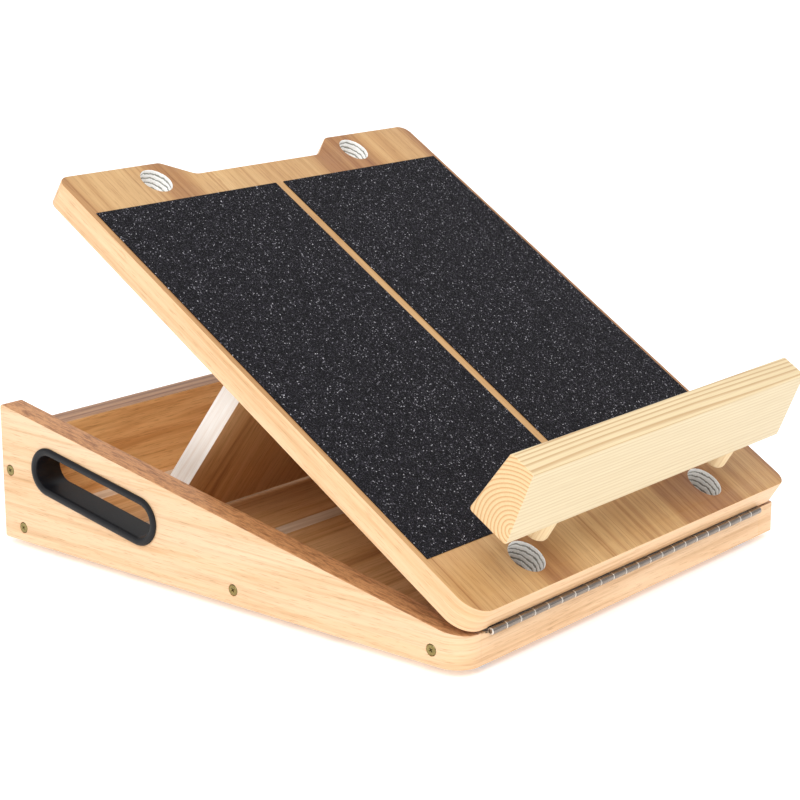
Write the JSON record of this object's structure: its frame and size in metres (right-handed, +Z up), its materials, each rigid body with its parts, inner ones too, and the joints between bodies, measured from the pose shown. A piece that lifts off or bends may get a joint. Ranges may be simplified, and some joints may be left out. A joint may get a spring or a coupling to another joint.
{
  "type": "adjustable slant board for calf stretching",
  "caption": "Wedge-shaped wooden box with a gritty hinged tread, a prop board that sets the slope and a removable stopper bar on dowels.",
  "frame": {"origin": "centre of the bounding box, on the plane that the feet stand on", "axes": "+X along the piano hinge to the user's right, +Y from the hinge to the tall rear end, +Z up"},
  "size_m": [0.3538, 0.4322, 0.2601],
  "materials": {
    "veneer_ply": "clear satin lacquer over oak veneer on plywood",
    "inner_wood": "satin lacquer, honey brown",
    "pine": "sanded solid pine with thin lacquer",
    "grip_sheet": "coarse mineral grit, matt with sparkling grains",
    "hinge_steel": "rolled steel, dull nickel",
    "zinc_yellow": "yellow zinc plate",
    "black_plastic": "moulded, fine satin",
    "clear_rubber": "soft translucent"
  },
  "bodies": {
    "box": {"base_board": "inner_wood", "back_panel": "inner_wood", "left_side_panel": "veneer_ply", "left_slot_liner": "black_plastic", "left_side_screw_rear_upper": "zinc_yellow", "left_side_screw_rear_lower": "zinc_yellow", "left_side_screw_middle": "zinc_yellow", "left_side_screw_front": "zinc_yellow", "right_side_panel": "veneer_ply", "right_slot_liner": "black_plastic", "right_side_screw_rear_upper": "zinc_yellow", "right_side_screw_rear_lower": "zinc_yellow", "right_side_screw_middle": "zinc_yellow", "right_side_screw_front": "zinc_yellow", "foot_front_left": "clear_rubber", "foot_screw_front_left": "hinge_steel", "foot_front_right": "clear_rubber", "foot_screw_front_right": "hinge_steel", "foot_rear_left": "clear_rubber", "foot_screw_rear_left": "hinge_steel", "foot_rear_right": "clear_rubber", "foot_screw_rear_right": "hinge_steel", "hinge_leaf_lower": "hinge_steel", "hinge_screw_lower_1": "hinge_steel", "hinge_screw_lower_2": "hinge_steel", "hinge_screw_lower_3": "hinge_steel", "hinge_screw_lower_4": "hinge_steel", "hinge_screw_lower_5": "hinge_steel"},
    "hinge_pin": {"hinge_pin": "hinge_steel"},
    "tread": {"tread_board": "veneer_ply", "grip_sheet_left": "grip_sheet", "grip_sheet_right": "grip_sheet", "hinge_leaf_upper": "hinge_steel", "hinge_screw_upper_1": "hinge_steel", "hinge_screw_upper_2": "hinge_steel", "hinge_screw_upper_3": "hinge_steel", "hinge_screw_upper_4": "hinge_steel", "hinge_screw_upper_5": "hinge_steel", "prop_rail": "pine", "rail_screw_left": "zinc_yellow", "rail_hinge_leaf_left": "hinge_steel", "prop_hinge_pin_left": "hinge_steel", "rail_hinge_screw_left_1": "hinge_steel", "rail_hinge_screw_left_2": "hinge_steel", "rail_screw_right": "zinc_yellow", "rail_hinge_leaf_right": "hinge_steel", "prop_hinge_pin_right": "hinge_steel", "rail_hinge_screw_right_1": "hinge_steel", "rail_hinge_screw_right_2": "hinge_steel"},
    "stopper": {"stopper_dowel_left": "pine", "stopper_dowel_right": "pine", "stopper_bar": "pine"},
    "prop": {"prop_board": "veneer_ply", "prop_hinge_leaf_left": "hinge_steel", "prop_hinge_screw_left_1": "hinge_steel", "prop_hinge_screw_left_2": "hinge_steel", "prop_hinge_leaf_right": "hinge_steel", "prop_hinge_screw_right_1": "hinge_steel", "prop_hinge_screw_right_2": "hinge_steel"}
  },
  "joints": [
    {"name": "tread_lift", "type": "hinge", "parent": "hinge_pin", "child": "tread", "pos_m": [0, -0.18654, 0.0255], "axis": [1, 0, 0], "range_deg": [0, 57.6]},
    {"name": "tread_fold", "type": "hinge", "parent": "box", "child": "hinge_pin", "pos_m": [0, -0.18654, 0.0255], "axis": [1, 0, 0], "range_deg": [-21.9, 0]},
    {"name": "prop_fold", "type": "hinge", "parent": "tread", "child": "prop", "pos_m": [0, 0.03989, 0.14125], "axis": [1, 0, 0], "range_deg": [0, 85.9]},
    {"name": "stopper_lift", "type": "slide", "parent": "tread", "child": "stopper", "axis": [0, -0.5358, 0.8443], "range_m": [-0.0315, 0.02]}
  ],
  "couplings": [
    {"joint": "prop_fold", "follows": "tread_fold", "ratio": -3.922}
  ]
}
